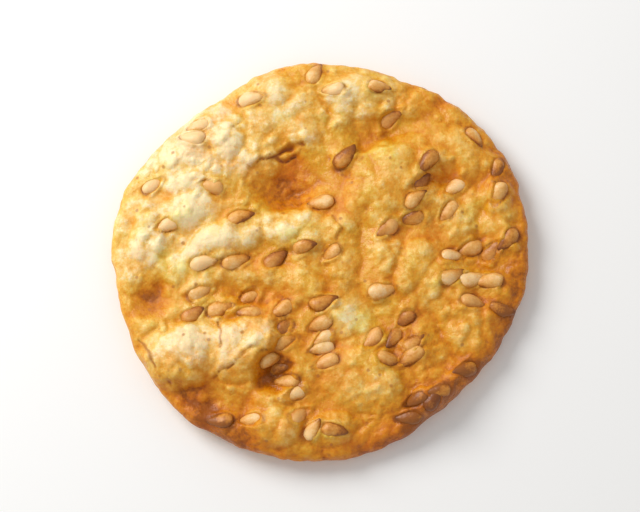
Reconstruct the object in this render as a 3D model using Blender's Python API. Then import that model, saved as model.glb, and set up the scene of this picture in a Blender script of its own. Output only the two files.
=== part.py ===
"""A round puffed brown-rice cracker with toasted sesame seeds baked into both faces.

The cracker lies flat with its show face up. The origin is on the surface it rests on, under the
middle of its outline; +X and +Y are the right and the top of the show face. Lengths are metres.
"""

import math
import random

import bmesh
import bpy
from mathutils import Matrix, Vector, noise

MM = 0.001

# The dough round: half of its plain thickness, and the height of its middle above the resting surface
MEAN_RADIUS = 21.95 * MM
HALF_DOUGH = 1.3 * MM
THINNEST_CRUST = 0.9 * MM
MID_HEIGHT = 1.85 * MM

# A higher edge power keeps the full thickness closer to the rim; crowding gathers mesh points there
EDGE_POWER = 24
EDGE_CROWDING = 0.15
BODY_SUBDIVISIONS = 5

# How far the outline swells from a circle: lobes, swell, heading of a lobe in degrees
OUTLINE_WAVES = (
    (1, 0.33 * MM, 143),
    (2, 0.68 * MM, 29),
    (3, 0.26 * MM, 25),
    (4, 0.20 * MM, -2),
    (5, 0.16 * MM, 22),
    (6, 0.20 * MM, -19),
)
RAGGED_DEPTH = 0.28 * MM
RAGGED_LENGTH = 2.6 * MM
OUTLINE_STEPS = 360

# How the whole round is bent out of flat
SADDLE_RISE = 0.30 * MM
SADDLE_HEADING = math.radians(35)
WAVE_RISE = 0.45 * MM
WAVE_LENGTH = 11 * MM

# The small puffs of the skin, with creases between them. The gap keeps the two faces' patterns apart
PUFF_RISE = 1.0 * MM
PUFF_LENGTH = 4.2 * MM
PUFF_MEAN = 0.22
PUFF_FACE_GAP = 9 * PUFF_LENGTH

# Blisters of the show face: x, y, half length, half width, heading in degrees, rise
BLISTER_POWER = 0.9
TOP_BLISTERS = (
    (-14.9 * MM, -10.7 * MM, 5.2 * MM, 3.7 * MM, 14, 1.9 * MM),
    (-8.4 * MM, -10.0 * MM, 4.4 * MM, 3.5 * MM, 30, 1.7 * MM),
    (-4.6 * MM, -18.2 * MM, 2.7 * MM, 2.3 * MM, 20, 1.1 * MM),
    (0.9 * MM, -18.4 * MM, 2.9 * MM, 2.0 * MM, 10, 0.8 * MM),
    (-10.4 * MM, 1.8 * MM, 5.2 * MM, 2.3 * MM, 24, 0.9 * MM),
    (-2.6 * MM, 3.0 * MM, 4.8 * MM, 2.4 * MM, -6, 0.9 * MM),
    (-14.2 * MM, 5.2 * MM, 3.8 * MM, 2.2 * MM, 12, 0.7 * MM),
    (-12.4 * MM, 11.6 * MM, 6.6 * MM, 4.8 * MM, 38, 1.0 * MM),
    (-4.6 * MM, 16.8 * MM, 5.4 * MM, 3.3 * MM, 8, 0.8 * MM),
    (3.4 * MM, 17.8 * MM, 4.8 * MM, 2.6 * MM, -14, 0.8 * MM),
    (7.9 * MM, 8.4 * MM, 6.4 * MM, 4.6 * MM, 40, 1.3 * MM),
    (14.8 * MM, 11.4 * MM, 4.6 * MM, 3.0 * MM, -35, 0.8 * MM),
    (18.8 * MM, 7.0 * MM, 2.4 * MM, 2.1 * MM, 70, 0.8 * MM),
    (11.0 * MM, -2.0 * MM, 5.8 * MM, 3.8 * MM, -18, 0.8 * MM),
    (16.0 * MM, -8.0 * MM, 4.4 * MM, 3.2 * MM, -50, 0.9 * MM),
    (4.6 * MM, -13.2 * MM, 5.4 * MM, 3.6 * MM, -12, 0.9 * MM),
    (-19.0 * MM, 1.6 * MM, 3.4 * MM, 2.0 * MM, 80, 0.7 * MM),
    (-2.4 * MM, -3.2 * MM, 5.0 * MM, 2.0 * MM, -20, 0.6 * MM),
    (12.2 * MM, -14.4 * MM, 3.6 * MM, 2.4 * MM, 40, 0.7 * MM),
)

# Hollows of the show face, in the same order, the last number being the depth
HOLLOW_POWER = 1.3
TOP_HOLLOWS = (
    (-3.6 * MM, 8.8 * MM, 5.2 * MM, 4.6 * MM, 12, 1.2 * MM),
    (-4.2 * MM, 6.8 * MM, 4.2 * MM, 2.4 * MM, -4, 0.8 * MM),
    (5.6 * MM, 13.6 * MM, 6.4 * MM, 2.2 * MM, 10, 1.1 * MM),
    (-18.2 * MM, -4.4 * MM, 3.2 * MM, 2.4 * MM, 70, 0.9 * MM),
    (-15.6 * MM, 2.2 * MM, 2.2 * MM, 1.9 * MM, 60, 0.7 * MM),
    (-5.2 * MM, -12.4 * MM, 2.9 * MM, 2.4 * MM, 60, 1.2 * MM),
    (-10.8 * MM, -15.8 * MM, 6.6 * MM, 2.1 * MM, -14, 0.8 * MM),
    (4.6 * MM, -5.6 * MM, 6.6 * MM, 2.4 * MM, -28, 0.8 * MM),
    (17.0 * MM, 0.4 * MM, 4.2 * MM, 2.8 * MM, -8, 0.8 * MM),
    (12.6 * MM, 8.6 * MM, 2.6 * MM, 2.0 * MM, 35, 0.6 * MM),
    (-9.0 * MM, -4.0 * MM, 6.2 * MM, 2.0 * MM, 4, 0.6 * MM),
)

# Blisters of the underside are drawn at random between these sizes; slimness is width over length
UNDER_BLISTERS = 30
UNDER_BLISTER_DRAW = 11
UNDER_RADIUS = (2.0 * MM, 4.6 * MM)
UNDER_SLIMNESS = (0.6, 0.95)
UNDER_RISE = (0.30 * MM, 0.90 * MM)

# Broad blisters that the hot plate has flattened, and on which the cracker rests: x, y
REST_PADS = (
    (11.0 * MM, 9.0 * MM),
    (-10.0 * MM, 10.5 * MM),
    (-11.0 * MM, -9.0 * MM),
    (9.5 * MM, -11.0 * MM),
)
PAD_RADIUS = 6.0 * MM
PAD_DROP = 1.1 * MM

# One sesame seed: the taper is how much its blunt end swells and its pointed end thins
SEED_LENGTH = 3.0 * MM
SEED_WIDTH = 1.5 * MM
SEED_THICKNESS = 1.05 * MM
SEED_TAPER = 0.40
SEED_SIDES = 6
SEED_BANDS = 4

# How seeds differ: scale, turn off their heading and tip out of the face in degrees
SEED_SIZES = (0.88, 1.10)
SEED_TURN = 22
SEED_TIP = 7

# How a seed sits: its middle sunk below the face, and no further out than this share of the way to the rim
SEED_SUNK = 0.05 * MM
SEED_REACH = 0.93
SLOPE_STEP = 0.5 * MM

# Trails of seeds on the show face: start x and y, end x and y, seeds, heading in degrees
TOP_SEED_DRAW = 5
TRAIL_SCATTER = 0.35 * MM
SEED_TRAILS = (
    (-0.9 * MM, 20.3 * MM, -0.9 * MM, 20.3 * MM, 1, 50),
    (1.2 * MM, 18.6 * MM, 6.2 * MM, 18.6 * MM, 2, 18),
    (7.2 * MM, 15.5 * MM, 2.8 * MM, 11.3 * MM, 2, 30),
    (-7.5 * MM, 17.7 * MM, -7.5 * MM, 17.7 * MM, 1, 18),
    (-14.4 * MM, 15.1 * MM, -14.0 * MM, 13.2 * MM, 2, 15),
    (-12.2 * MM, 7.5 * MM, -8.7 * MM, 4.4 * MM, 2, 12),
    (-0.6 * MM, 6.0 * MM, -0.6 * MM, 6.0 * MM, 1, 10),
    (-1.6 * MM, 1.4 * MM, 0.6 * MM, 0.3 * MM, 2, 35),
    (-5.3 * MM, -0.4 * MM, -12.8 * MM, -0.5 * MM, 3, 22),
    (-13.2 * MM, -3.7 * MM, -8.4 * MM, -4.1 * MM, 2, 27),
    (-13.7 * MM, -5.9 * MM, -4.8 * MM, -6.1 * MM, 4, 12),
    (0.3 * MM, -4.8 * MM, 0.3 * MM, -4.8 * MM, 1, 20),
    (-4.4 * MM, -7.6 * MM, -4.0 * MM, -9.2 * MM, 2, 20),
    (-0.6 * MM, -7.4 * MM, 0.4 * MM, -11.4 * MM, 4, 14),
    (-5.6 * MM, -11.2 * MM, -4.2 * MM, -13.2 * MM, 3, 10),
    (-3.1 * MM, -14.9 * MM, -1.2 * MM, -18.8 * MM, 3, 28),
    (1.4 * MM, -18.3 * MM, 1.4 * MM, -18.3 * MM, 1, 5),
    (-7.8 * MM, -17.2 * MM, -10.9 * MM, -17.8 * MM, 2, 15),
    (5.4 * MM, -8.9 * MM, 9.8 * MM, -9.2 * MM, 3, 48),
    (6.9 * MM, -10.8 * MM, 9.2 * MM, -10.8 * MM, 2, 12),
    (8.8 * MM, -7.2 * MM, 8.8 * MM, -7.2 * MM, 1, 30),
    (10.0 * MM, -15.0 * MM, 12.2 * MM, -14.2 * MM, 2, 5),
    (9.4 * MM, -17.2 * MM, 9.4 * MM, -17.2 * MM, 1, 10),
    (11.6 * MM, 10.2 * MM, 9.4 * MM, 4.1 * MM, 4, 35),
    (14.4 * MM, 7.5 * MM, 13.4 * MM, 4.7 * MM, 2, 48),
    (6.9 * MM, 2.8 * MM, 6.9 * MM, 2.8 * MM, 1, 30),
    (19.0 * MM, 9.8 * MM, 19.0 * MM, 6.9 * MM, 2, 60),
    (14.0 * MM, 0.2 * MM, 20.2 * MM, 1.5 * MM, 4, 30),
    (13.9 * MM, -2.0 * MM, 18.0 * MM, -2.6 * MM, 3, 12),
    (16.2 * MM, -4.6 * MM, 19.3 * MM, -6.1 * MM, 2, -15),
    (6.6 * MM, -3.9 * MM, 6.6 * MM, -3.9 * MM, 1, 10),
    (16.6 * MM, 13.2 * MM, 16.6 * MM, 13.2 * MM, 1, -40),
    (15.4 * MM, -12.2 * MM, 12.6 * MM, -16.4 * MM, 2, 40),
    (-18.6 * MM, 7.6 * MM, -17.2 * MM, 3.4 * MM, 2, 40),
)

# Seeds of the underside lie at random where it stands clear of the resting surface, sunk deeper
UNDER_SEED_DRAW = 23
UNDER_SEED_TRIES = 400
UNDER_SEED_SPACING = 3.2 * MM
UNDER_SEED_CLEARANCE = 0.62 * MM
UNDER_SEED_SUNK = 0.24 * MM

DOUGH_COLOUR = "d49b4e"
DOUGH_ROUGHNESS = 0.55
SEED_COLOUR = "e3b981"
SEED_ROUGHNESS = 0.45
SHARP_ANGLE = math.radians(40)


def linear(hex_colour):
    """The linear RGBA of a hex sRGB colour."""
    channels = [int(hex_colour[i : i + 2], 16) / 255 for i in (0, 2, 4)]
    return [c / 12.92 if c < 0.04045 else ((c + 0.055) / 1.055) ** 2.4 for c in channels] + [1.0]


def make_material(name, hex_colour, roughness):
    material = bpy.data.materials.new(name)
    material.use_nodes = True
    shader = material.node_tree.nodes["Principled BSDF"]
    shader.inputs["Base Color"].default_value = linear(hex_colour)
    shader.inputs["Roughness"].default_value = roughness
    shader.inputs["Metallic"].default_value = 0.0
    material.diffuse_color = linear(hex_colour)
    return material


def outline_radius(angle):
    """Distance from the middle of the dough to its rim in one direction."""
    radius = MEAN_RADIUS
    for lobes, swell, heading in OUTLINE_WAVES:
        radius += swell * math.cos(lobes * (angle - math.radians(heading)))
    on_rim = Vector((math.cos(angle), math.sin(angle), 0)) * (MEAN_RADIUS / RAGGED_LENGTH)
    return radius + RAGGED_DEPTH * noise.noise(on_rim)


def outline_middle():
    """Middle of the outline's bounding box."""
    steps = [2 * math.pi * i / OUTLINE_STEPS for i in range(OUTLINE_STEPS)]
    xs = [outline_radius(a) * math.cos(a) for a in steps]
    ys = [outline_radius(a) * math.sin(a) for a in steps]
    return Vector(((min(xs) + max(xs)) / 2, (min(ys) + max(ys)) / 2, 0))


def share_to_rim(x, y):
    """0 in the middle of the dough and 1 on its rim."""
    return min(1.0, math.hypot(x, y) / outline_radius(math.atan2(y, x)))


def fullness(x, y):
    """Share of the full thickness: 1 over most of the dough, rounding to 0 at the rim."""
    return math.sqrt(1 - share_to_rim(x, y) ** EDGE_POWER)


def swelling(x, y, bump, power):
    """Height of one blister, or depth of one hollow, at a point."""
    centre_x, centre_y, half_length, half_width, heading, rise = bump
    turn = math.radians(heading)
    along = (x - centre_x) * math.cos(turn) + (y - centre_y) * math.sin(turn)
    across = (y - centre_y) * math.cos(turn) - (x - centre_x) * math.sin(turn)
    reach = (along / half_length) ** 2 + (across / half_width) ** 2
    return rise * (1 - reach) ** power if reach < 1 else 0.0


def mid_plane(x, y):
    """Height of the middle of the dough, which has baked a little out of flat."""
    along = x * math.cos(SADDLE_HEADING) + y * math.sin(SADDLE_HEADING)
    across = y * math.cos(SADDLE_HEADING) - x * math.sin(SADDLE_HEADING)
    saddle = SADDLE_RISE * (along**2 - across**2) / MEAN_RADIUS**2
    return MID_HEIGHT + saddle + WAVE_RISE * noise.noise(Vector((x, y, 0)) / WAVE_LENGTH)


def draw_under_blisters():
    """Blisters of the underside: the flattened rest pads and a random scatter."""
    draw = random.Random(UNDER_BLISTER_DRAW)
    blisters = [(x, y, PAD_RADIUS, PAD_RADIUS, 0, PAD_DROP) for x, y in REST_PADS]
    for _ in range(UNDER_BLISTERS):
        angle = draw.uniform(0, 2 * math.pi)
        reach = MEAN_RADIUS * math.sqrt(draw.random())
        half_length = draw.uniform(*UNDER_RADIUS)
        half_width = half_length * draw.uniform(*UNDER_SLIMNESS)
        x, y = reach * math.cos(angle), reach * math.sin(angle)
        heading, rise = draw.uniform(0, 180), draw.uniform(*UNDER_RISE)
        blisters.append((x, y, half_length, half_width, heading, rise))
    return blisters


def puff(x, y, face):
    """Random small pillows of the skin, different on each face."""
    pillow = abs(noise.noise(Vector((x, y, PUFF_FACE_GAP * face)) / PUFF_LENGTH))
    return PUFF_RISE * (pillow - PUFF_MEAN)


def under_height(x, y):
    """Height of the underside. Nothing reaches below the surface that the cracker rests on."""
    drop = HALF_DOUGH + puff(x, y, -1)
    drop += max(swelling(x, y, blister, BLISTER_POWER) for blister in under_blisters)
    return max(0.0, mid_plane(x, y) - drop * fullness(x, y))


def top_height(x, y):
    """Height of the show face."""
    rise = HALF_DOUGH + puff(x, y, 1)
    rise += max(swelling(x, y, blister, BLISTER_POWER) for blister in TOP_BLISTERS)
    rise -= sum(swelling(x, y, hollow, HOLLOW_POWER) for hollow in TOP_HOLLOWS)
    thinnest = under_height(x, y) + THINNEST_CRUST * fullness(x, y)
    return max(thinnest, mid_plane(x, y) + rise * fullness(x, y))


def make_body(middle, materials):
    """An icosphere pressed into the cracker: its northern half is the show face."""
    bm = bmesh.new()
    bmesh.ops.create_icosphere(bm, subdivisions=BODY_SUBDIVISIONS, radius=1.0)
    for vertex in bm.verts:
        direction = vertex.co.normalized()
        angle = math.atan2(direction.y, direction.x)
        inset = 1 - math.sqrt(1 - abs(direction.z))
        share = 1 - inset**2 * (1 + EDGE_CROWDING) / (inset + EDGE_CROWDING)
        radius = share * outline_radius(angle)
        x, y = radius * math.cos(angle), radius * math.sin(angle)
        height = top_height if direction.z > 0 else under_height
        vertex.co = Vector((x, y, height(x, y))) - middle
    mesh = bpy.data.meshes.new("rice_cracker")
    bm.to_mesh(mesh)
    bm.free()
    for material in materials:
        mesh.materials.append(material)
    return bpy.data.objects.new("rice_cracker", mesh)


def make_seed_mesh(material):
    """A sesame seed along X: rounded at one end and drawn out to a blunt point at the other."""
    bm = bmesh.new()
    bmesh.ops.create_uvsphere(bm, u_segments=SEED_SIDES, v_segments=SEED_BANDS, radius=1.0)
    bmesh.ops.rotate(bm, verts=bm.verts, matrix=Matrix.Rotation(math.pi / 2, 3, "Y"))
    for vertex in bm.verts:
        taper = 1 - SEED_TAPER * vertex.co.x
        vertex.co.x *= SEED_LENGTH / 2
        vertex.co.y *= SEED_WIDTH / 2 * taper
        vertex.co.z *= SEED_THICKNESS / 2 * taper
    mesh = bpy.data.meshes.new("sesame_seed")
    bm.to_mesh(mesh)
    bm.free()
    mesh.materials.append(material)
    return mesh


def surface_normal(height, x, y):
    """Upward normal of a height function, from its slope about a point."""
    slope_x = (height(x + SLOPE_STEP, y) - height(x - SLOPE_STEP, y)) / (2 * SLOPE_STEP)
    slope_y = (height(x, y + SLOPE_STEP) - height(x, y - SLOPE_STEP)) / (2 * SLOPE_STEP)
    return Vector((-slope_x, -slope_y, 1)).normalized()


def draw_top_seeds():
    """Seeds along the trails of the show face: x, y, heading, tip, size."""
    draw = random.Random(TOP_SEED_DRAW)
    seeds = []
    for start_x, start_y, end_x, end_y, count, heading in SEED_TRAILS:
        for i in range(count):
            share = i / max(1, count - 1)
            x = start_x + (end_x - start_x) * share + draw.uniform(-1, 1) * TRAIL_SCATTER
            y = start_y + (end_y - start_y) * share + draw.uniform(-1, 1) * TRAIL_SCATTER
            pull = min(1, SEED_REACH / share_to_rim(x, y))
            turn = heading + draw.uniform(-1, 1) * SEED_TURN
            turn += 180 * draw.randint(0, 1)
            tip, size = draw.uniform(-1, 1) * SEED_TIP, draw.uniform(*SEED_SIZES)
            seeds.append((x * pull, y * pull, turn, tip, size))
    return seeds


def draw_under_seeds():
    """Seeds of the underside, clear of each other and of the surface that the cracker rests on."""
    draw = random.Random(UNDER_SEED_DRAW)
    seeds = []
    for _ in range(UNDER_SEED_TRIES):
        angle = draw.uniform(0, 2 * math.pi)
        reach = SEED_REACH * outline_radius(angle) * math.sqrt(draw.random())
        x, y = reach * math.cos(angle), reach * math.sin(angle)
        turn, tip, size = draw.uniform(0, 360), draw.uniform(-1, 1) * SEED_TIP, draw.uniform(*SEED_SIZES)
        crowded = any(math.hypot(x - seed[0], y - seed[1]) < UNDER_SEED_SPACING for seed in seeds)
        if under_height(x, y) > UNDER_SEED_CLEARANCE and not crowded:
            seeds.append((x, y, turn, tip, size))
    return seeds


def place_seeds(seeds, height, up, sunk, middle, mesh, collection, name):
    """Puts one seed object at each drawn place, lying along the face and sunk into it."""
    for i, (x, y, turn, tip, size) in enumerate(seeds):
        normal = surface_normal(height, x, y) * up
        heading = Vector((math.cos(math.radians(turn)), math.sin(math.radians(turn)), 0))
        along = (heading - normal * heading.dot(normal)).normalized()
        frame = Matrix((along, normal.cross(along), normal)).transposed()
        seed = bpy.data.objects.new(f"{name}_{i + 1:02d}", mesh)
        seed.location = Vector((x, y, height(x, y))) - middle - normal * sunk
        seed.rotation_euler = (frame @ Matrix.Rotation(math.radians(tip), 3, "Y")).to_euler()
        seed.scale = (size, size, size)
        collection.objects.link(seed)


def fuse(body, collection):
    """Joins the seeds to the dough as one solid, and removes the separate seeds."""
    union = body.modifiers.new("seeds baked in", "BOOLEAN")
    union.operation = "UNION"
    union.operand_type = "COLLECTION"
    union.collection = collection
    bpy.context.view_layer.update()
    evaluated = body.evaluated_get(bpy.context.evaluated_depsgraph_get())
    mesh = bpy.data.meshes.new_from_object(evaluated)
    body.modifiers.clear()
    body.data = mesh
    mesh.name = body.name
    for seed in list(collection.objects):
        bpy.data.objects.remove(seed)
    bpy.data.collections.remove(collection)


for leftover in list(bpy.data.objects):
    bpy.data.objects.remove(leftover)

dough = make_material("toasted_rice_dough", DOUGH_COLOUR, DOUGH_ROUGHNESS)
sesame = make_material("toasted_sesame", SEED_COLOUR, SEED_ROUGHNESS)
under_blisters = draw_under_blisters()
middle_of_outline = outline_middle()

part = bpy.data.collections.new("rice_cracker")
loose_seeds = bpy.data.collections.new("seeds")
bpy.context.scene.collection.children.link(part)
bpy.context.scene.collection.children.link(loose_seeds)

cracker = make_body(middle_of_outline, (dough, sesame))
part.objects.link(cracker)
seed_mesh = make_seed_mesh(sesame)
place_seeds(draw_top_seeds(), top_height, 1, SEED_SUNK,
            middle_of_outline, seed_mesh, loose_seeds, "top_seed")
place_seeds(draw_under_seeds(), under_height, -1, UNDER_SEED_SUNK,
            middle_of_outline, seed_mesh, loose_seeds, "under_seed")
fuse(cracker, loose_seeds)
cracker.data.shade_smooth()
cracker.data.set_sharp_from_angle(angle=SHARP_ANGLE)
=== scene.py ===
import math
import random

import bmesh
import bpy
import numpy as np
from mathutils import Matrix, Vector, noise


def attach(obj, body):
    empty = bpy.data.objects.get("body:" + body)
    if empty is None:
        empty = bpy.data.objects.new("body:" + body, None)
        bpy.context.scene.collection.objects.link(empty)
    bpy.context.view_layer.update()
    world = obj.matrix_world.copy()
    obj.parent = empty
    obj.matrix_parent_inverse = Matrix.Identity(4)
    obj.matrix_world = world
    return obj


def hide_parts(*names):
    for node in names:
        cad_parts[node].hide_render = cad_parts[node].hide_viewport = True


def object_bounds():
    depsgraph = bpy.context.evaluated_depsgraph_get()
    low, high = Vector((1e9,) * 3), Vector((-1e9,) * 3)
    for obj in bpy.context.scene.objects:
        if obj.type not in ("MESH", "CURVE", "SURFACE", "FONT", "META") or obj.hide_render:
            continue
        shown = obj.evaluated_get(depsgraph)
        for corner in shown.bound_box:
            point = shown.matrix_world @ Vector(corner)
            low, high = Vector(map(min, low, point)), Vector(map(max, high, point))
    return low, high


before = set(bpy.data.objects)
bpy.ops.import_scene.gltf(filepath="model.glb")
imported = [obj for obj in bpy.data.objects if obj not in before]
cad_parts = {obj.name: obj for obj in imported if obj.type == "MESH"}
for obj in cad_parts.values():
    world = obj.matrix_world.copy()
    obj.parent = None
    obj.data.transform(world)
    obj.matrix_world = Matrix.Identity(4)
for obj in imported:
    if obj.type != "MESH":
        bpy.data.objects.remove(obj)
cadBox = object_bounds()
mm = 0.001


def hexColour(text):
    # sRGB hex to the linear RGBA that Blender's sockets take
    channels = [int(text[i:i + 2], 16) / 255 for i in (0, 2, 4)]
    return [c / 12.92 if c < 0.04045 else ((c + 0.055) / 1.055) ** 2.4 for c in channels] + [1.0]


def noiseField(x, y, z, length, layer=0.0):
    # Perlin noise sampled at every point; layer picks an unrelated pattern
    points = zip(x / length, y / length, z / length + layer)
    return np.array([noise.noise(point) for point in points])


def smoothed(values, edges, rounds, share=0.6):
    # averages each vertex with its neighbours, a wider blur with more rounds
    count = len(values)
    neighbours = np.bincount(edges.ravel(), minlength=count)
    for _ in range(rounds):
        total = np.bincount(edges[:, 0], weights=values[edges[:, 1]], minlength=count)
        total += np.bincount(edges[:, 1], weights=values[edges[:, 0]], minlength=count)
        values = (1 - share) * values + share * total / neighbours
    return values


def readVectors(mesh, name):
    values = np.empty(len(mesh.vertices) * 3)
    mesh.vertices.foreach_get(name, values)
    return values.reshape(-1, 3)


def addAttribute(mesh, name, values):
    attribute = mesh.attributes.new(name, "FLOAT", "POINT")
    attribute.data.foreach_set("value", np.asarray(values, np.float32))


# the dough round: lengths in mm, the same as those of the plain solid, with finer relief laid over them
dough = {
    "radius": 21.95,
    "half": 1.3,             # half the thickness between blisters and hollows
    "thinnest": 0.9,
    "midHeight": 1.85,
    "edgePower": 24,         # the higher, the blunter the rim
    "edgeCrowding": 0.15,    # the lower, the finer the mesh at the rim
    "sphereCuts": 6,
    "extraCuts": 2,
    "outlineWaves": [        # lobes, swell, heading in degrees
        (1, 0.33, 143), (2, 0.68, 29), (3, 0.26, 25), (4, 0.20, -2), (5, 0.16, 22), (6, 0.20, -19),
    ],
    "raggedDepth": 0.28,
    "raggedLength": 2.6,
    "saddleRise": 0.30,
    "saddleHeading": math.radians(35),
    "waveRise": 0.45,
    "waveLength": 11,
    "puffRise": 1.0,
    "puffLength": 4.2,
    "puffMean": 0.22,
    "puffFaceGap": 9,        # noise layers between the two faces
    "blisterPower": 0.9,
    "hollowPower": 1.3,
}

# x, y, half length, half width, heading in degrees, rise
topBlisters = [
    (-14.9, -10.7, 5.2, 3.7, 14, 1.9),
    (-8.4, -10.0, 4.4, 3.5, 30, 1.7),
    (-4.6, -18.2, 2.7, 2.3, 20, 1.1),
    (0.9, -18.4, 2.9, 2.0, 10, 0.8),
    (-10.4, 1.8, 5.2, 2.3, 24, 0.9),
    (-2.6, 3.0, 4.8, 2.4, -6, 0.9),
    (-14.2, 5.2, 3.8, 2.2, 12, 0.7),
    (-12.4, 11.6, 6.6, 4.8, 38, 1.0),
    (-4.6, 16.8, 5.4, 3.3, 8, 0.8),
    (3.4, 17.8, 4.8, 2.6, -14, 0.8),
    (7.9, 8.4, 6.4, 4.6, 40, 1.3),
    (14.8, 11.4, 4.6, 3.0, -35, 0.8),
    (18.8, 7.0, 2.4, 2.1, 70, 0.8),
    (11.0, -2.0, 5.8, 3.8, -18, 0.8),
    (16.0, -8.0, 4.4, 3.2, -50, 0.9),
    (4.6, -13.2, 5.4, 3.6, -12, 0.9),
    (-19.0, 1.6, 3.4, 2.0, 80, 0.7),
    (-2.4, -3.2, 5.0, 2.0, -20, 0.6),
    (12.2, -14.4, 3.6, 2.4, 40, 0.7),
]

# the same, the last number being a depth
topHollows = [
    (-3.6, 8.8, 5.2, 4.6, 12, 1.2),
    (-4.2, 6.8, 4.2, 2.4, -4, 0.8),
    (5.6, 13.6, 6.4, 2.2, 10, 1.1),
    (-18.2, -4.4, 3.2, 2.4, 70, 0.9),
    (-15.6, 2.2, 2.2, 1.9, 60, 0.7),
    (-5.2, -12.4, 2.9, 2.4, 60, 1.2),
    (-10.8, -15.8, 6.6, 2.1, -14, 0.8),
    (4.6, -5.6, 6.6, 2.4, -28, 0.8),
    (17.0, 0.4, 4.2, 2.8, -8, 0.8),
    (12.6, 8.6, 2.6, 2.0, 35, 0.6),
    (-9.0, -4.0, 6.2, 2.0, 4, 0.6),
]

under = {
    "draw": 11,
    "blisters": 30,
    "radius": (2.0, 4.6),
    "slimness": (0.6, 0.95),
    "rise": (0.30, 0.90),
    "restPads": [(11.0, 9.0), (-10.0, 10.5), (-11.0, -9.0), (9.5, -11.0)],
    "padRadius": 6.0,
    "padDrop": 1.1,
}


def outlineRadius(angle):
    radius = np.full_like(angle, dough["radius"])
    for lobes, swell, heading in dough["outlineWaves"]:
        radius += swell * np.cos(lobes * (angle - math.radians(heading)))
    rimX, rimY = np.cos(angle) * dough["radius"], np.sin(angle) * dough["radius"]
    ragged = noiseField(rimX, rimY, 0 * angle, dough["raggedLength"])
    return radius + dough["raggedDepth"] * ragged


def outlineMiddle():
    angle = np.radians(np.arange(360.0))
    radius = outlineRadius(angle)
    x, y = radius * np.cos(angle), radius * np.sin(angle)
    return (x.min() + x.max()) / 2, (y.min() + y.max()) / 2


def shareToRim(x, y):
    return np.minimum(1, np.hypot(x, y) / outlineRadius(np.arctan2(y, x)))


def fullness(x, y):
    return np.sqrt(1 - shareToRim(x, y) ** dough["edgePower"])


def ovalPlace(x, y, centreX, centreY, halfLength, halfWidth, heading):
    # how far each point lies along and across an oval: 1 is on its border
    turn = math.radians(heading)
    along = ((x - centreX) * math.cos(turn) + (y - centreY) * math.sin(turn)) / halfLength
    across = ((y - centreY) * math.cos(turn) - (x - centreX) * math.sin(turn)) / halfWidth
    return along, across


def ovalReach(x, y, *oval):
    # 0 in the middle of an oval and 1 on its border
    along, across = ovalPlace(x, y, *oval)
    return along ** 2 + across ** 2


def swelling(x, y, bump, power):
    *oval, rise = bump
    return rise * np.clip(1 - ovalReach(x, y, *oval), 0, None) ** power


def midPlane(x, y):
    heading = dough["saddleHeading"]
    along = x * math.cos(heading) + y * math.sin(heading)
    across = y * math.cos(heading) - x * math.sin(heading)
    saddle = dough["saddleRise"] * (along ** 2 - across ** 2) / dough["radius"] ** 2
    return dough["midHeight"] + saddle + dough["waveRise"] * noiseField(x, y, 0 * x, dough["waveLength"])


def drawUnderBlisters():
    draw = random.Random(under["draw"])
    padRadius, padDrop = under["padRadius"], under["padDrop"]
    blisters = [(x, y, padRadius, padRadius, 0, padDrop) for x, y in under["restPads"]]
    for _ in range(under["blisters"]):
        angle = draw.uniform(0, 2 * math.pi)
        reach = dough["radius"] * math.sqrt(draw.random())
        halfLength = draw.uniform(*under["radius"])
        halfWidth = halfLength * draw.uniform(*under["slimness"])
        place = (reach * math.cos(angle), reach * math.sin(angle))
        blisters.append((*place, halfLength, halfWidth, draw.uniform(0, 180), draw.uniform(*under["rise"])))
    return blisters


underBlisters = drawUnderBlisters()


def puff(x, y, face):
    # low pillows between the blisters; face is 1 on the show face and -1 beneath
    pillow = np.abs(noiseField(x, y, 0 * x, dough["puffLength"], dough["puffFaceGap"] * face))
    return dough["puffRise"] * (pillow - dough["puffMean"])


def underHeight(x, y):
    drop = dough["half"] + puff(x, y, -1)
    drop += np.max([swelling(x, y, blister, dough["blisterPower"]) for blister in underBlisters], axis=0)
    return np.maximum(0, midPlane(x, y) - drop * fullness(x, y))


def topHeight(x, y):
    rise = dough["half"] + puff(x, y, 1)
    rise += np.max([swelling(x, y, blister, dough["blisterPower"]) for blister in topBlisters], axis=0)
    rise -= np.sum([swelling(x, y, hollow, dough["hollowPower"]) for hollow in topHollows], axis=0)
    full = fullness(x, y)
    return np.maximum(underHeight(x, y) + dough["thinnest"] * full, midPlane(x, y) + rise * full)


# the sesame seeds: sizes in mm and the draws of their places, the same as in the plain solid
seeds = {
    "length": 3.0,
    "width": 1.5,
    "thickness": 1.05,
    "taper": 0.40,           # how much slimmer the pointed end is
    "sunk": 0.05,
    "sizes": (0.88, 1.10),
    "turn": 22,
    "tip": 7,
    "trailScatter": 0.35,
    "reach": 0.93,           # share of the way to the rim
    "topDraw": 5,
    "underDraw": 23,
    "underTries": 400,
    "underSpacing": 3.2,
    "underClearance": 0.62,
    "underSunk": 0.24,
    "slopeStep": 0.5,
    # the look of one seed
    "lengthwise": 26,
    "sides": 20,
    "rimLine": 0.05,
    "rimLineWidth": 0.16,
    "bend": 0.10,
    "lumpLength": 0.7,
    "lump": 0.09,
    "toastRange": (0.0, 0.7),
    "toastAlong": 0.15,      # browner towards the tip
    "toastAcross": 0.3,
    "browningAndShade": 1.2,         # how far a seed darkens with the dough about it, its toast and painted shade alike
    "skirtPlace": 0.46,      # share of the thickness where the painted shade on the lower part ends
    "brownStep": 5,          # one seed in five is a browner one, from the fourth on
    "brownStart": 3,
}

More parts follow.
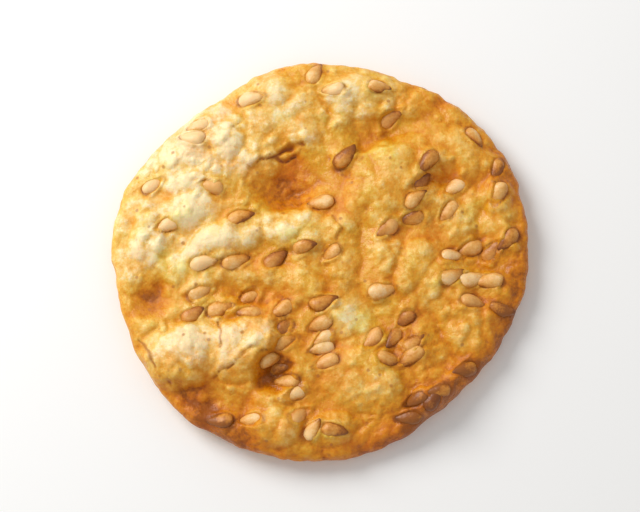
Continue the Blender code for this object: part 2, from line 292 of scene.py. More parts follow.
# start x and y, end x and y, seeds, heading in degrees
seedTrails = [
    (-0.9, 20.3, -0.9, 20.3, 1, 50),
    (1.2, 18.6, 6.2, 18.6, 2, 18),
    (7.2, 15.5, 2.8, 11.3, 2, 30),
    (-7.5, 17.7, -7.5, 17.7, 1, 18),
    (-14.4, 15.1, -14.0, 13.2, 2, 15),
    (-12.2, 7.5, -8.7, 4.4, 2, 12),
    (-0.6, 6.0, -0.6, 6.0, 1, 10),
    (-1.6, 1.4, 0.6, 0.3, 2, 35),
    (-5.3, -0.4, -12.8, -0.5, 3, 22),
    (-13.2, -3.7, -8.4, -4.1, 2, 27),
    (-13.7, -5.9, -4.8, -6.1, 4, 12),
    (0.3, -4.8, 0.3, -4.8, 1, 20),
    (-4.4, -7.6, -4.0, -9.2, 2, 20),
    (-0.6, -7.4, 0.4, -11.4, 4, 14),
    (-5.6, -11.2, -4.2, -13.2, 3, 10),
    (-3.1, -14.9, -1.2, -18.8, 3, 28),
    (1.4, -18.3, 1.4, -18.3, 1, 5),
    (-7.8, -17.2, -10.9, -17.8, 2, 15),
    (5.4, -8.9, 9.8, -9.2, 3, 48),
    (6.9, -10.8, 9.2, -10.8, 2, 12),
    (8.8, -7.2, 8.8, -7.2, 1, 30),
    (10.0, -15.0, 12.2, -14.2, 2, 5),
    (9.4, -17.2, 9.4, -17.2, 1, 10),
    (11.6, 10.2, 9.4, 4.1, 4, 35),
    (14.4, 7.5, 13.4, 4.7, 2, 48),
    (6.9, 2.8, 6.9, 2.8, 1, 30),
    (19.0, 9.8, 19.0, 6.9, 2, 60),
    (14.0, 0.2, 20.2, 1.5, 4, 30),
    (13.9, -2.0, 18.0, -2.6, 3, 12),
    (16.2, -4.6, 19.3, -6.1, 2, -15),
    (6.6, -3.9, 6.6, -3.9, 1, 10),
    (16.6, 13.2, 16.6, 13.2, 1, -40),
    (15.4, -12.2, 12.6, -16.4, 2, 40),
    (-18.6, 7.6, -17.2, 3.4, 2, 40),
]


def one(function, x, y):
    # a function of arrays, asked for a single point
    return float(function(np.array([float(x)]), np.array([float(y)]))[0])


def drawTopSeeds():
    draw = random.Random(seeds["topDraw"])
    drawn = []
    for startX, startY, endX, endY, count, heading in seedTrails:
        for i in range(count):
            share = i / max(1, count - 1)
            x = startX + (endX - startX) * share + draw.uniform(-1, 1) * seeds["trailScatter"]
            y = startY + (endY - startY) * share + draw.uniform(-1, 1) * seeds["trailScatter"]
            pull = min(1, seeds["reach"] / one(shareToRim, x, y))
            turn = heading + draw.uniform(-1, 1) * seeds["turn"]
            turn += 180 * draw.randint(0, 1)
            tip, size = draw.uniform(-1, 1) * seeds["tip"], draw.uniform(*seeds["sizes"])
            drawn.append((x * pull, y * pull, turn, tip, size))
    return drawn


def drawUnderSeeds():
    draw = random.Random(seeds["underDraw"])
    drawn = []
    for _ in range(seeds["underTries"]):
        angle = draw.uniform(0, 2 * math.pi)
        rim = float(outlineRadius(np.array([angle]))[0])
        reach = seeds["reach"] * rim * math.sqrt(draw.random())
        x, y = reach * math.cos(angle), reach * math.sin(angle)
        turn = draw.uniform(0, 360)
        tip, size = draw.uniform(-1, 1) * seeds["tip"], draw.uniform(*seeds["sizes"])
        crowded = any(math.hypot(x - seed[0], y - seed[1]) < seeds["underSpacing"] for seed in drawn)
        if one(underHeight, x, y) > seeds["underClearance"] and not crowded:
            drawn.append((x, y, turn, tip, size))
    return drawn


topSeeds = drawTopSeeds()
underSeeds = drawUnderSeeds()
print("seeds drawn:", len(topSeeds), "on the show face,", len(underSeeds), "beneath")


# fine relief of the baked skin, laid over the dough round
skin = {
    "crumpleLength": 1.7,     # small pillows about 1.5 mm across
    "crumpleRise": 0.24,
    "crumpleMean": 0.18,
    "fineLength": 0.75,
    "fineRise": 0.07,
    "smoothLength": 7.5,      # how far apart smooth and crumpled stretches lie
    "roughMean": 0.75,
    "roughSwing": 1.5,
    "roughLimits": (0.25, 1.4),
    "layers": (3, 5, 7),      # noise layers of the crumple, the grain and the smooth stretches
    "calmNearSeeds": 0.6,
    "bubbles": 300,
    "bubbleRadius": (0.5, 1.5),
    "bubbleRise": (0.05, 0.30),
    "microBubbles": 1500,
    "microRadius": (0.28, 0.62),
    "microRise": (0.04, 0.13),
    "bubbleSlimness": (0.6, 1),
    "bubblePower": 0.8,
    "topDraw": 41,
    "underDraw": 43,
    "microDrawGap": 10,
    "creaseRounds": 14,       # a narrow and a wide blur, which the relief is set against for its painted shade
    "hollowRounds": 220,
    "creaseFull": 0.12,
    "hollowFull": 0.5,
}

# the dough drawn up round each seed, more on one side than on another, and the painted shade of the gap
# where it lets go
collars = {
    "rise": 0.26,
    "place": 1.08,            # 1 is the seed's border
    "width": 0.26,
    "length": 1.7,
    "reach": 3.2,
    "layer": 51,
    "layerStep": 3,
    "mean": 0.55,
    "swing": 1.8,
    "hold": (-0.5, 1.2),
    "limits": (-0.2, 0.36),
    "nearFade": 0.12,
    "moatPlace": 1.02,
    "moatWidth": 0.09,
    "moatMean": 0.85,
    "moatLoss": 0.9,          # how far a well-held side loses its gap
    "moatLimits": (0.05, 1),
}

# torn edges of the show face: how open each crack is, and points in mm along it
cracks = [
    (2.0, [(-7.8, 9.9), (-6.9, 10.6), (-5.4, 11.0), (-4.2, 11.8), (-2.0, 12.5)]),
    (1.7, [(-5.2, 11.0), (-3.9, 10.8), (-2.6, 11.5)]),
    (0.9, [(-11.4, -12.9), (-9.8, -11.9), (-8.4, -10.5), (-7.4, -9.8)]),
    (0.4, [(2.6, 7.4), (3.4, 9.8), (4.6, 11.0)]),
    (0.7, [(-11.0, -7.2), (-10.8, -8.6), (-11.0, -9.8)]),
    (0.8, [(-19.6, -9.0), (-18.4, -10.2), (-17.6, -12.2), (-15.8, -13.6)]),
    (0.5, [(1.2, 4.4), (1.9, 3.2), (1.6, 1.9)]),
]

tears = {
    "width": 0.16,
    "depth": 0.30,
    "gape": 0.7,              # how much wider the most open cracks gape
    "lip": 0.20,              # the flake that stands up along one side
    "lipShift": (0.15, -0.35),
    "lipWidth": 0.35,
    "wander": 0.45,
    "wanderLength": 1.3,
    "widthLength": 1.1,
    "widthSwing": 1.6,
    "widthLimits": (0.4, 1.7),
    "brokenLength": 1.7,
    "brokenMean": 0.75,
    "brokenSwing": 1.6,
    "brokenLimits": (0.1, 1),
    "layers": (31, 32, 33, 34),
}


def distanceToLine(x, y, points):
    # shortest way to a chain of straight stretches
    nearest = np.full_like(x, np.inf)
    for (startX, startY), (endX, endY) in zip(points, points[1:]):
        stretchX, stretchY = endX - startX, endY - startY
        share = ((x - startX) * stretchX + (y - startY) * stretchY) / (stretchX ** 2 + stretchY ** 2)
        share = np.clip(share, 0, 1)
        aside = np.hypot(x - startX - share * stretchX, y - startY - share * stretchY)
        nearest = np.minimum(nearest, aside)
    return nearest


def crackField(x, y):
    # how deep each point lies in a crack, and how high the flake beside it stands
    flat = 0 * x
    layerX, layerY, layerWidth, layerBroken = tears["layers"]
    wanderX = x + tears["wander"] * noiseField(x, y, flat, tears["wanderLength"], layerX)
    wanderY = y + tears["wander"] * noiseField(x, y, flat, tears["wanderLength"], layerY)
    swing = tears["widthSwing"] * noiseField(x, y, flat, tears["widthLength"], layerWidth)
    width = tears["width"] * np.clip(1 + swing, *tears["widthLimits"])
    swing = tears["brokenSwing"] * noiseField(x, y, flat, tears["brokenLength"], layerBroken)
    broken = np.clip(tears["brokenMean"] + swing, *tears["brokenLimits"])
    shiftX, shiftY = tears["lipShift"]
    crack, lip = np.zeros_like(x), np.zeros_like(x)
    for opened, line in cracks:
        gap = width * max(1, opened * tears["gape"])
        torn = np.minimum(1, opened * broken) * np.exp(-(distanceToLine(wanderX, wanderY, line) / gap) ** 2)
        beside = distanceToLine(wanderX + shiftX, wanderY + shiftY, line) / tears["lipWidth"]
        flake = min(1, opened) * np.exp(-beside ** 2)
        crack, lip = np.maximum(crack, torn), np.maximum(lip, flake)
    return crack, lip


def bubbleField(x, y, seedNumber, bubbles, radii, rises):
    # small round blisters scattered over one face
    draw = random.Random(seedNumber)
    field = np.zeros_like(x)
    for _ in range(bubbles):
        angle = draw.uniform(0, 2 * math.pi)
        reach = dough["radius"] * math.sqrt(draw.random())
        centreX, centreY = reach * math.cos(angle), reach * math.sin(angle)
        halfLength = draw.uniform(*radii)
        halfWidth = halfLength * draw.uniform(*skin["bubbleSlimness"])
        heading, rise = draw.uniform(0, 180), draw.uniform(*rises)
        near = np.flatnonzero(np.hypot(x - centreX, y - centreY) < halfLength)
        bubble = (centreX, centreY, halfLength, halfWidth, heading, rise)
        field[near] = np.maximum(field[near], swelling(x[near], y[near], bubble, skin["bubblePower"]))
    return field


def seedField(x, y, drawn):
    # how high the dough is drawn up round the seeds, how close each point is to one, and the painted shade
    # of the gap
    collar, nearSeed, moatShade = np.zeros_like(x), np.zeros_like(x), np.zeros_like(x)
    for i, (seedX, seedY, turn, _, size) in enumerate(drawn):
        near = np.flatnonzero(np.hypot(x - seedX, y - seedY) < collars["reach"])
        halfLength, halfWidth = seeds["length"] / 2 * size, seeds["width"] / 2 * size
        along, across = ovalPlace(x[near], y[near], seedX, seedY, halfLength, halfWidth, turn)
        reach = np.hypot(along, across / (1 - seeds["taper"] * np.clip(along, -1, 1)))
        layer = collars["layer"] + collars["layerStep"] * i
        wander = noiseField(x[near], y[near], 0 * x[near], collars["length"], layer)
        hold = np.clip(collars["mean"] + collars["swing"] * wander, *collars["hold"])
        ring = np.exp(-((reach - collars["place"]) / collars["width"]) ** 2)
        collar[near] += hold * collars["rise"] * ring
        close = np.exp(-np.clip(reach - 1, 0, None) ** 2 / collars["nearFade"])
        nearSeed[near] = np.maximum(nearSeed[near], close)
        line = np.exp(-((reach - collars["moatPlace"]) * halfWidth / collars["moatWidth"]) ** 2)
        line *= np.clip(collars["moatMean"] - collars["moatLoss"] * hold, *collars["moatLimits"])
        moatShade[near] = np.maximum(moatShade[near], line)
    return np.clip(collar, *collars["limits"]), nearSeed, moatShade


def startDoughMesh():
    # a fine ball mesh, its points on the unit ball, and its edges
    bm = bmesh.new()
    bmesh.ops.create_icosphere(bm, subdivisions=dough["sphereCuts"], radius=1.0)
    bmesh.ops.subdivide_edges(bm, edges=bm.edges[:], cuts=dough["extraCuts"], use_grid_fill=True)
    mesh = bpy.data.meshes.new("riceDough")
    bm.to_mesh(mesh)
    bm.free()
    points = readVectors(mesh, "co")
    points /= np.linalg.norm(points, axis=1)[:, None]
    edges = np.empty(len(mesh.edges) * 2, np.int64)
    mesh.edges.foreach_get("vertices", edges)
    return mesh, points, edges.reshape(-1, 2)


def makeDough():
    mesh, points, edges = startDoughMesh()
    angle = np.arctan2(points[:, 1], points[:, 0])
    inset = 1 - np.sqrt(1 - np.abs(points[:, 2]))
    share = 1 - inset ** 2 * (1 + dough["edgeCrowding"]) / (inset + dough["edgeCrowding"])
    radius = share * outlineRadius(angle)
    x, y = radius * np.cos(angle), radius * np.sin(angle)
    top = points[:, 2] > 0
    full = fullness(x, y)
    z = underHeight(x, y)
    z[top] = topHeight(x[top], y[top])

    crack, lip, nearSeed, moatShade = np.zeros((4, len(points)))
    crack[top], lip[top] = crackField(x[top], y[top])
    sides = ((top, topSeeds, skin["topDraw"], 1), (~top, underSeeds, skin["underDraw"], -1))
    for side, drawn, bubbleDraw, up in sides:
        collar, nearSeed[side], moatShade[side] = seedField(x[side], y[side], drawn)
        bubbles = bubbleField(
            x[side], y[side], bubbleDraw, skin["bubbles"], skin["bubbleRadius"], skin["bubbleRise"])
        bubbles += bubbleField(
            x[side], y[side], bubbleDraw + skin["microDrawGap"],
            skin["microBubbles"], skin["microRadius"], skin["microRise"])
        z[side] += up * ((collar + bubbles) * full[side])
    z += (lip * tears["lip"] - crack * tears["depth"]) * full

    # finer crumple goes along the surface's own normal, so that the rim gets it too
    mesh.vertices.foreach_set("co", np.column_stack((x, y, z)).ravel())
    mesh.update()
    normals = readVectors(mesh, "normal")
    crumpleLayer, fineLayer, smoothLayer = skin["layers"]
    crumple = np.abs(noiseField(x, y, z, skin["crumpleLength"], crumpleLayer)) - skin["crumpleMean"]
    grain = noiseField(x, y, z, skin["fineLength"], fineLayer)
    swing = skin["roughSwing"] * noiseField(x, y, z, skin["smoothLength"], smoothLayer)
    rough = np.clip(skin["roughMean"] + swing, *skin["roughLimits"])
    out = (skin["crumpleRise"] * crumple + skin["fineRise"] * grain) * rough
    out *= 1 - skin["calmNearSeeds"] * nearSeed
    x, y, z = (np.column_stack((x, y, z)) + normals * out[:, None]).T
    z = np.where(top, z, np.maximum(z, 0))

    # colour follows the relief: creases and hollows are painted darker as shade, ridges paler as painted
    # light
    crease = smoothed(z, edges, skin["creaseRounds"]) - z
    hollow = smoothed(z, edges, skin["hollowRounds"]) - z
    crease[~top] *= -1
    hollow[~top] *= -1
    middleX, middleY = outlineMiddle()
    final = np.column_stack((x - middleX, y - middleY, z)) * mm
    mesh.vertices.foreach_set("co", final.ravel())
    mesh.update()
    mesh.shade_smooth()
    addAttribute(mesh, "crease", np.clip(crease / skin["creaseFull"], -1, 1))
    addAttribute(mesh, "hollow", np.clip(hollow / skin["hollowFull"], -1, 1))
    addAttribute(mesh, "nearSeed", nearSeed)
    addAttribute(mesh, "moatShade", moatShade)
    addAttribute(mesh, "crack", crack)
    addAttribute(mesh, "toast", toastAndShadingField(x, y, z, top, share))
    addAttribute(mesh, "lean", patchField(x, y, top, leanPatches))
    piece = bpy.data.objects.new("riceDough", mesh)
    bpy.context.scene.collection.objects.link(piece)
    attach(piece, "root")
    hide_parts("rice_cracker")
    return piece


# where the baking has toasted the show face darker or left it paler, with painted light on the left and
# upper left, which face the key, and painted shade towards the lower right rim:
# x, y, half length, half width, heading, amount
toastAndShadingPatches = [
    (-4.2, 7.8, 6.0, 4.6, 8, 0.28),       # floor of the big hollow: browned, and painted darker as shade
    (-5.4, -12.4, 3.0, 2.8, 60, 0.45),    # hollow beside the pillow: scorched, and painted darker as shade
    (-10.6, -18.2, 4.6, 1.9, -28, 0.50),  # browned rim at the lower left
    (13.6, -16.2, 8.0, 3.4, 40, 0.75),    # rim at the lower right: browned, and painted darker as shade away from the key
    # painted shade on the right rim, away from the key
    (20.2, -3.4, 6.6, 2.0, 80, 0.26),
    (18.4, 8.0, 5.0, 3.2, -60, 0.10),
    (-14.2, -14.8, 5.0, 1.8, -32, 0.24),
    (-18.2, -4.4, 3.4, 2.4, 70, 0.46),
    (6.6, 13.0, 6.6, 2.6, 8, 0.02),
    (7.6, 8.6, 6.0, 4.6, 40, 0.08),
    (12.0, 14.6, 6.0, 3.2, -35, 0.12),
    (4.8, -6.8, 3.8, 2.8, -30, -0.30),    # pale waxy patch right of the middle
    (2.6, 17.6, 5.0, 2.8, -10, -0.10),
    (-3.6, 16.4, 4.8, 3.0, 0, -0.14),
    (16.4, 6.6, 4.6, 3.6, 80, -0.12),
    (-13.6, 12.2, 8.2, 6.6, 38, -0.34),   # painted light on the upper left, which faces the key
    # painted light on the left side, which faces the key
    (-16.4, 0.8, 6.6, 6.2, 80, -0.30),
    (-3.6, 3.2, 7.0, 2.2, 4, -0.22),
    # painted light on the pillow at the lower left
    (-12.0, -9.2, 6.6, 2.8, 8, -0.30),
]

# where the dough leans to olive yellow, or to peach if the amount is negative
leanPatches = [
    (5.8, 12.6, 6.4, 2.6, 8, 1.5),
    (-18.2, -4.4, 3.6, 2.8, 70, 1.2),
    (5.0, -6.8, 4.4, 3.2, -30, 1.2),
    (-4.4, 6.8, 5.4, 3.4, 8, 0.5),
    (-13.0, 12.4, 7.4, 5.6, 38, -0.7),
    (-9.6, -8.8, 6.2, 2.6, 8, -0.5),
]

# how toasted the dough is, with painted shade towards the lower right laid into the same level
toast = {
    "base": 0.42,
    "across": 0.10,      # painted shade: darker towards the lower right, away from the key
    "acrossReach": 1.4,
    "rim": 0.36,
    "rimStart": 0.86,
    "rimMean": 0.55,     # the rim browns all round, and is painted darker still as shade at rimTurn radians below the right
    "rimSwing": 0.45,
    "rimTurn": 0.8,
    "mottle": 0.16,
    "mottleLength": 5.5,
    "mottleLayer": 17,
    "faceGap": 40.0,     # mm between the mottles of the two faces in the noise
    "falloff": 1.4,      # how fast a patch fades from its middle
    "restPads": 0.16,    # where the underside lay on the hot plate
    "padFade": 0.12,
}


def patchField(x, y, top, patches):
    # soft oval patches of the show face, added up
    field = np.zeros_like(x)
    for *oval, amount in patches:
        field += np.where(top, amount * np.exp(-toast["falloff"] * ovalReach(x, y, *oval)), 0)
    return field


def toastAndShadingField(x, y, z, top, share):
    # toast with painted shade: darker towards the lower right and along the lower right rim, plus the
    # patches
    level = toast["base"] + toast["across"] * (x - y) / (dough["radius"] * toast["acrossReach"])
    face = np.where(top, 0.0, toast["faceGap"])
    level += toast["mottle"] * noiseField(x, y, face, toast["mottleLength"], toast["mottleLayer"])
    edge = np.clip((share - toast["rimStart"]) / (1 - toast["rimStart"]), 0, 1) ** 2
    towards = np.cos(np.arctan2(y, x) + toast["rimTurn"])
    level += toast["rim"] * edge * (toast["rimMean"] + toast["rimSwing"] * towards)
    level += patchField(x, y, top, toastAndShadingPatches)
    level += np.where(top, 0, toast["restPads"] * np.exp(-z / toast["padFade"]))
    return np.clip(level, 0, 1)


def toastAndShadingAt(x, y, up):
    # the dough's toast and painted shading at one point, taken 1 mm up, so that the rest pads leave it
    # alone
    point = (x, y, 1.0, up > 0, one(shareToRim, x, y))
    return float(toastAndShadingField(*[np.array([value]) for value in point])[0])


def seedPoint(along, around):
    # a flattened teardrop with a raised rim line round its edge
    profile = math.sqrt(max(0.0, 1 - along ** 2)) * (1 - seeds["taper"] * along)
    side, up = math.cos(around), math.sin(around)
    ridge = 1 + seeds["rimLine"] * math.exp(-(up / seeds["rimLineWidth"]) ** 2)
    return (
        along * seeds["length"] / 2,
        side * profile * ridge * seeds["width"] / 2,
        up * profile * seeds["thickness"] / 2,
    )


def makeSeedShape():
    lengthwise, sides = seeds["lengthwise"], seeds["sides"]
    points = [(-seeds["length"] / 2, 0, 0)]
    for i in range(1, lengthwise):
        along = -math.cos(math.pi * i / lengthwise)
        points += [seedPoint(along, 2 * math.pi * j / sides) for j in range(sides)]
    points.append((seeds["length"] / 2, 0, 0))
    faces = []
    for j in range(sides):
        faces.append((0, 1 + (j + 1) % sides, 1 + j))
        last = 1 + (lengthwise - 2) * sides
        faces.append((last + j, last + (j + 1) % sides, len(points) - 1))
    for i in range(lengthwise - 2):
        for j in range(sides):
            a, b = 1 + i * sides + j, 1 + i * sides + (j + 1) % sides
            faces.append((a, b, b + sides, a + sides))
    return np.array(points), faces


seedPoints, seedFaces = makeSeedShape()


def surfaceNormal(height, x, y):
    step = seeds["slopeStep"]
    slopeX = (one(height, x + step, y) - one(height, x - step, y)) / (2 * step)
    slopeY = (one(height, x, y + step) - one(height, x, y - step)) / (2 * step)
    return Vector((-slopeX, -slopeY, 1)).normalized()


def makeSeeds(name, chosen, material):
    # chosen: (seed, height function, up) for each seed of this kind
    draw = random.Random(name)
    middleX, middleY = outlineMiddle()
    points, faces, toasts, tips, skirtShades = [], [], [], [], []
    for (x, y, turn, tip, size), height, up in chosen:
        normal = surfaceNormal(height, x, y) * up
        heading = Vector((math.cos(math.radians(turn)), math.sin(math.radians(turn)), 0))
        along = (heading - normal * heading.dot(normal)).normalized()
        axes = Matrix((along, normal.cross(along), normal)).transposed()
        axes = axes @ Matrix.Rotation(math.radians(tip), 3, "Y")
        sunk = seeds["sunk"] if up > 0 else seeds["underSunk"]
        centre = Vector((x - middleX, y - middleY, one(height, x, y))) - normal * sunk
        # a seed darkens with the dough's toast and painted shade about it
        browningAndShadeLevel = (toastAndShadingAt(x, y, up) - toast["base"]) * seeds["browningAndShade"]
        bend = draw.uniform(-seeds["bend"], seeds["bend"])
        apart = Vector((len(points), 0, 0))
        lumps = np.array([noise.noise(Vector(p) / seeds["lumpLength"] + apart) for p in seedPoints])
        shaped = seedPoints * (1 + seeds["lump"] * lumps[:, None])
        shaped[:, 1] += bend * (shaped[:, 0] ** 2)
        placed = shaped * size @ np.array(axes).T + np.array(centre)
        faces += [[index + len(points) for index in face] for face in seedFaces]
        points += placed.tolist()
        level = browningAndShadeLevel + draw.uniform(*seeds["toastRange"])
        slope = draw.uniform(-seeds["toastAcross"], seeds["toastAcross"])
        lengthwise, crosswise, upwards = seedPoints.T
        toasts += (level + seeds["toastAlong"] * lengthwise + slope * crosswise).tolist()
        tips += np.clip(lengthwise / (seeds["length"] / 2), 0, 1).tolist()
        # painted shade on the lower part of each seed
        skirtShades += np.clip(1 - upwards / (seeds["thickness"] * seeds["skirtPlace"]), 0, 1).tolist()
    mesh = bpy.data.meshes.new(name)
    mesh.from_pydata([[c * mm for c in point] for point in points], [], faces)
    mesh.shade_smooth()
    addAttribute(mesh, "seedToast", toasts)
    addAttribute(mesh, "seedTip", tips)
    addAttribute(mesh, "seedSkirtShade", skirtShades)
    mesh.materials.append(material)
    piece = bpy.data.objects.new(name, mesh)
    bpy.context.scene.collection.objects.link(piece)
    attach(piece, "root")
    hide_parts("rice_cracker")


def addNode(tree, kind, settings=None, links=None, output=0, stops=()):
    # one node with its settings: each input gets a value or a link, and a ramp gets its stops
    node = tree.nodes.new(kind)
    for name, value in (settings or {}).items():
        setattr(node, name, value)
    for name, value in (links or {}).items():
        if isinstance(value, bpy.types.NodeSocket):
            tree.links.new(value, node.inputs[name])
        else:
            node.inputs[name].default_value = value
    for i, (position, colour) in enumerate(stops):
        elements = node.color_ramp.elements
        element = elements[i] if i < len(elements) else elements.new(position)
        element.position = position
        element.color = hexColour(colour)
    return node.outputs[output]


patternRoughness = 0.55    # how strong the finer detail of every noise pattern is


def startMaterial(name, patterns, fields):
    # a material with its noise patterns and the mesh fields that it reads, both by name
    material = bpy.data.materials.new(name)
    material.use_nodes = True
    tree = material.node_tree
    place = addNode(tree, "ShaderNodeTexCoord", output="Object")
    inputs = {"place": place}
    for pattern, (sizeMm, detail) in patterns.items():
        inputs[pattern] = addNode(tree, "ShaderNodeTexNoise", links={
            "Vector": place, "Scale": 1 / (sizeMm * mm), "Detail": detail, "Roughness": patternRoughness,
        }, output="Fac")
    for field in fields:
        inputs[field] = addNode(tree, "ShaderNodeAttribute", {"attribute_name": field}, output="Fac")
    return material, tree, tree.nodes["Principled BSDF"], inputs


multiplyAdd = {"operation": "MULTIPLY_ADD"}


def mottled(tree, level, patterns):
    # a level raised and lowered by noise patterns about their middle, 0.5, each with its strength
    for pattern, strength in patterns:
        centred = addNode(tree, "ShaderNodeMath", {"operation": "SUBTRACT"}, {0: pattern, 1: 0.5})
        level = addNode(tree, "ShaderNodeMath", multiplyAdd, {0: centred, 1: strength, 2: level})
    return level


def finishShader(tree, shader, look, colour, height):
    # the plain numbers of a look, its colour and its bump
    shader.inputs["IOR"].default_value = look["ior"]
    shader.inputs["Subsurface Weight"].default_value = look["subsurface"]
    shader.inputs["Subsurface Radius"].default_value = look["scatter"]
    shader.inputs["Subsurface Scale"].default_value = look["scatterScale"] * mm
    bump = addNode(tree, "ShaderNodeBump", links={
        "Height": height, "Strength": look["bump"], "Distance": look["bumpDepth"] * mm,
    })
    tree.links.new(bump, shader.inputs["Normal"])
    tree.links.new(colour, shader.inputs["Base Color"])


doughLook = {
    # size of one noise cell in mm, detail
    "patterns": {
        "broad": (2.2, 3), "middle": (0.8, 3), "fine": (0.3, 3), "tint": (3.6, 2), "glaze": (4.0, 2),
        "skin": (0.55, 3), "pores": (0.16, 2),
    },
    "mottles": {"broad": 0.50, "middle": 0.50, "fine": 0.40},
    # painted shade: darker in creases, in hollows and close round the seeds
    "browningAndShade": {"crease": 0.12, "hollow": 0.10, "nearSeed": 0.16},
    "stops": [
        (0.0, "fbe3b0"), (0.22, "f1c469"), (0.42, "e6a634"),
        (0.62, "dd8d0e"), (0.82, "cb7405"), (1.0, "a25605"),
    ],
    "lean": -0.2,
    # colour, where it starts and is full in the tint pattern, strength
    "leans": [("ffc9a0", 0.52, 0.72, 0.35), ("ecf68c", 0.48, 0.28, 0.5)],
    # painted shade in the gap round each seed
    "moatShade": ("80410f", 0.8),
    "flecks": ("a9622a", 0.6),
    "fleckSpacing": 1.3,     # mm
    "fleckShare": 0.62,      # the share of the cells that stay empty
    "fleckRadius": (0.20, 0.10),
    # the cracks: browned torn edges, darkened further with painted shade in the gap
    "crack": ("8e3d0c", 0.85),
    "glazeLimits": (0.35, 0.65),
    "roughness": (0.27, 0.52),
    "ior": 1.42,
    "subsurface": 0.28,
    "scatter": (1.0, 0.55, 0.22),
    "scatterScale": 0.9,     # mm that the light travels
    "poreShare": 0.35,
    "bump": 0.8,
    "bumpDepth": 0.16,       # mm
}


def makeDoughMaterial():
    # puffed brown-rice dough, oven-toasted: a waxy pale skin that lets some light through, with painted
    # shade darkening it to gold in its creases and hollows and round its seeds
    look = doughLook
    material, tree, shader, inputs = startMaterial(
        "puffed brown-rice dough, oven-toasted", look["patterns"],
        ("crease", "toast", "hollow", "nearSeed", "lean", "moatShade", "crack"))
    level = inputs["toast"]
    for field, strength in look["browningAndShade"].items():
        level = addNode(tree, "ShaderNodeMath", multiplyAdd, {0: inputs[field], 1: strength, 2: level})
    level = mottled(tree, level, [(inputs[name], strength) for name, strength in look["mottles"].items()])
    colour = addNode(tree, "ShaderNodeValToRGB", links={"Fac": level}, stops=look["stops"])

    # some stretches lean to peach and some to olive yellow, over about 4 mm
    tint = addNode(tree, "ShaderNodeMath", multiplyAdd, {
        0: inputs["lean"], 1: look["lean"], 2: inputs["tint"],
    })
    for lean, start, end, strength in look["leans"]:
        amount = addNode(tree, "ShaderNodeMapRange", links={
            "Value": tint, "From Min": start, "From Max": end, "To Max": strength,
        })
        colour = addNode(
            tree, "ShaderNodeMix", {"data_type": "RGBA", "blend_type": "MULTIPLY"},
            {0: amount, 6: colour, 7: hexColour(lean)}, 2)

    # bran flecks of the whole rice, 0.2 to 0.5 mm
    cells = addNode(tree, "ShaderNodeTexVoronoi", links={
        "Vector": inputs["place"], "Scale": 1 / (look["fleckSpacing"] * mm),
    }, output="Color")
    red = addNode(tree, "ShaderNodeSeparateColor", links={"Color": cells})
    chosen = addNode(tree, "ShaderNodeMath", {"operation": "GREATER_THAN"}, {0: red, 1: look["fleckShare"]})
    fleckColour, fleckStrength = look["flecks"]
    inside = addNode(tree, "ShaderNodeMapRange", links={
        "Value": cells.node.outputs["Distance"],
        "From Min": look["fleckRadius"][0], "From Max": look["fleckRadius"][1], "To Max": fleckStrength,
    })

    # a thin line of painted shade where the skin meets each seed, the flecks, and the dark of the cracks,
    # browned torn edges with painted shade in them
    over = [
        (inputs["moatShade"], look["moatShade"][1], look["moatShade"][0]),
        (chosen, inside, fleckColour),
        (inputs["crack"], look["crack"][1], look["crack"][0]),
    ]
    for field, strength, paint in over:
        amount = addNode(tree, "ShaderNodeMath", {"operation": "MULTIPLY"}, {0: field, 1: strength})
        colour = addNode(
            tree, "ShaderNodeMix", {"data_type": "RGBA"}, {0: amount, 6: colour, 7: hexColour(paint)}, 2)

    # the oil glaze lies in patches
    glaze = addNode(tree, "ShaderNodeMapRange", links={
        "Value": inputs["glaze"], "From Min": look["glazeLimits"][0], "From Max": look["glazeLimits"][1],
        "To Min": look["roughness"][0], "To Max": look["roughness"][1],
    })
    tree.links.new(glaze, shader.inputs["Roughness"])
    grain = addNode(tree, "ShaderNodeMath", multiplyAdd, {
        0: inputs["pores"], 1: look["poreShare"], 2: inputs["skin"],
    })
    finishShader(tree, shader, look, colour, grain)
    return material


sesameLook = {
    "patterns": {"stains": (0.8, 4), "specks": (0.22, 2), "ragged": (0.5, 2), "pores": (0.16, 2)},
    "stains": 0.9,
    "specks": 0.5,
    "skirtShade": 0.5,
    "ragged": 0.5,           # how far the brown of the tip frays
    "tipStart": 0.66,
    "tipStrength": 0.75,
    "roughness": 0.40,
    "ior": 1.48,
    "subsurface": 0.2,
    "scatter": (0.8, 0.5, 0.25),
    "scatterScale": 0.5,
    "pits": 1.4,
    "bump": 0.5,
    "bumpDepth": 0.07,
}

# ivory to light gold, and caramel to brown: colours from the least to the most toasted, and of the tip
paleSesame = (
    [(0.0, "f6cc90"), (0.3, "eab264"), (0.6, "d8933a"), (0.85, "bd7420"), (1.0, "985614")], "6b340c",
)
brownSesame = (
    [(0.0, "e8ae62"), (0.35, "d48f3c"), (0.65, "b97026"), (1.0, "854610")], "582a0a",
)


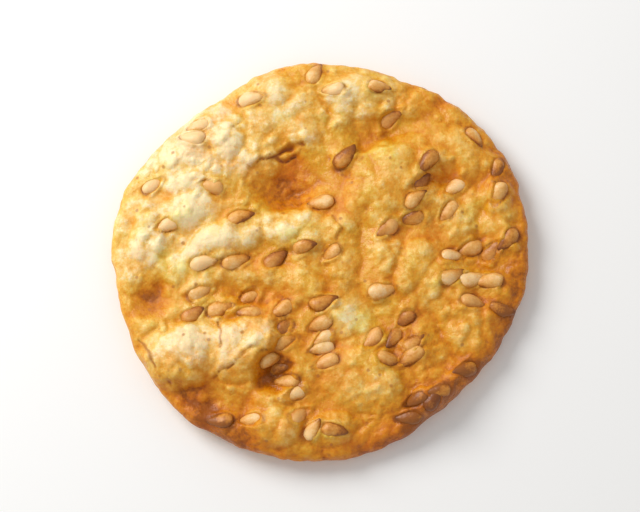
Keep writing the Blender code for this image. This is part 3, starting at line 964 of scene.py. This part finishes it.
def makeSesameMaterial(name, stops, tipColour):
    # hulled sesame, dry-roasted: smooth with a faint sheen, browner at its tip, and with painted shade
    # round its lower part
    look = sesameLook
    fields = ("seedToast", "seedTip", "seedSkirtShade")
    material, tree, shader, inputs = startMaterial(name, look["patterns"], fields)
    level = mottled(tree, inputs["seedToast"], [
        (inputs["stains"], look["stains"]), (inputs["specks"], look["specks"]),
    ])
    level = addNode(tree, "ShaderNodeMath", multiplyAdd, {
        0: inputs["seedSkirtShade"], 1: look["skirtShade"], 2: level,
    })
    colour = addNode(tree, "ShaderNodeValToRGB", links={"Fac": level}, stops=stops)
    tip = addNode(tree, "ShaderNodeMapRange", links={
        "Value": mottled(tree, inputs["seedTip"], [(inputs["ragged"], look["ragged"])]),
        "From Min": look["tipStart"], "From Max": 1.0, "To Max": look["tipStrength"],
    })
    colour = addNode(
        tree, "ShaderNodeMix", {"data_type": "RGBA"}, {0: tip, 6: colour, 7: hexColour(tipColour)}, 2)
    shader.inputs["Roughness"].default_value = look["roughness"]
    pits = addNode(tree, "ShaderNodeMath", multiplyAdd, {
        0: inputs["ragged"], 1: look["pits"], 2: inputs["pores"],
    })
    finishShader(tree, shader, look, colour, pits)
    return material


doughPiece = makeDough()
doughPiece.data.materials.append(makeDoughMaterial())
print("dough:", len(doughPiece.data.polygons), "faces")

allSeeds = [(seed, topHeight, 1) for seed in topSeeds] + [(seed, underHeight, -1) for seed in underSeeds]
brownSeeds = allSeeds[seeds["brownStart"]::seeds["brownStep"]]
paleSeeds = [seed for seed in allSeeds if seed not in brownSeeds]
makeSeeds("sesamePale", paleSeeds, makeSesameMaterial("hulled sesame, lightly toasted", *paleSesame))
makeSeeds("sesameToasted", brownSeeds, makeSesameMaterial("hulled sesame, well toasted", *brownSesame))
print("sesame seeds:", len(allSeeds))


# studio: pale floor, white surroundings, one large soft key from the upper left
studio = {
    "floor": "fbfaf8",
    "floorHalf": 1.5,    # m
    "floorRoughness": 0.9,
    "floorDrop": 0.02,   # mm below the rest pads, so that the two faces never coincide
    "surroundings": 0.52,
    "keyPlace": (-0.16, 0.13, 0.17),
    "keySize": 0.16,
    "keyPower": 0.57,
    "elevation": 80,
    "lens": 85,
    "fill": 0.78,        # share of the picture's height that the cracker takes
    "pictureShape": 512 / 640,
    "clip": (0.001, 10),
}


def makeFloor():
    mesh = bpy.data.meshes.new("studioFloor")
    half = studio["floorHalf"]
    drop = -studio["floorDrop"] * mm
    corners = [(-half, -half, drop), (half, -half, drop), (half, half, drop), (-half, half, drop)]
    mesh.from_pydata(corners, [], [(0, 1, 2, 3)])
    # uncoated white paper: matt, so it shows soft shadows and no reflections
    material, _, shader, _ = startMaterial("matt white paper floor", {}, ())
    shader.inputs["Base Color"].default_value = hexColour(studio["floor"])
    shader.inputs["Roughness"].default_value = studio["floorRoughness"]
    mesh.materials.append(material)
    floor = bpy.data.objects.new("studioFloor", mesh)
    bpy.context.scene.collection.objects.link(floor)


def makeLight():
    world = bpy.data.worlds.new("studio")
    world.use_nodes = True
    background = world.node_tree.nodes["Background"]
    background.inputs["Color"].default_value = hexColour("ffffff")
    background.inputs["Strength"].default_value = studio["surroundings"]
    bpy.context.scene.world = world
    light = bpy.data.lights.new("key", "AREA")
    light.shape = "DISK"
    light.size = studio["keySize"]
    light.energy = studio["keyPower"]
    key = bpy.data.objects.new("key", light)
    key.location = studio["keyPlace"]
    key.rotation_euler = Vector(studio["keyPlace"]).to_track_quat("Z", "Y").to_euler()
    bpy.context.scene.collection.objects.link(key)


def makeCamera():
    low, high = cadBox
    middle = (low + high) / 2
    elevation = math.radians(studio["elevation"])
    back = Vector((0, -math.cos(elevation), math.sin(elevation)))
    camera = bpy.data.cameras.new("camera")
    camera.lens = studio["lens"]
    camera.clip_start, camera.clip_end = studio["clip"]
    pictureHeight = camera.sensor_width * studio["pictureShape"]
    height = (high.y - low.y) * math.sin(elevation)
    distance = height / studio["fill"] * camera.lens / pictureHeight
    holder = bpy.data.objects.new("camera", camera)
    holder.location = middle + back * distance
    holder.rotation_euler = back.to_track_quat("Z", "Y").to_euler()
    bpy.context.scene.collection.objects.link(holder)
    bpy.context.scene.camera = holder


makeFloor()
makeLight()
makeCamera()
bpy.context.scene.view_settings.view_transform = "Standard"
print("studio ready")
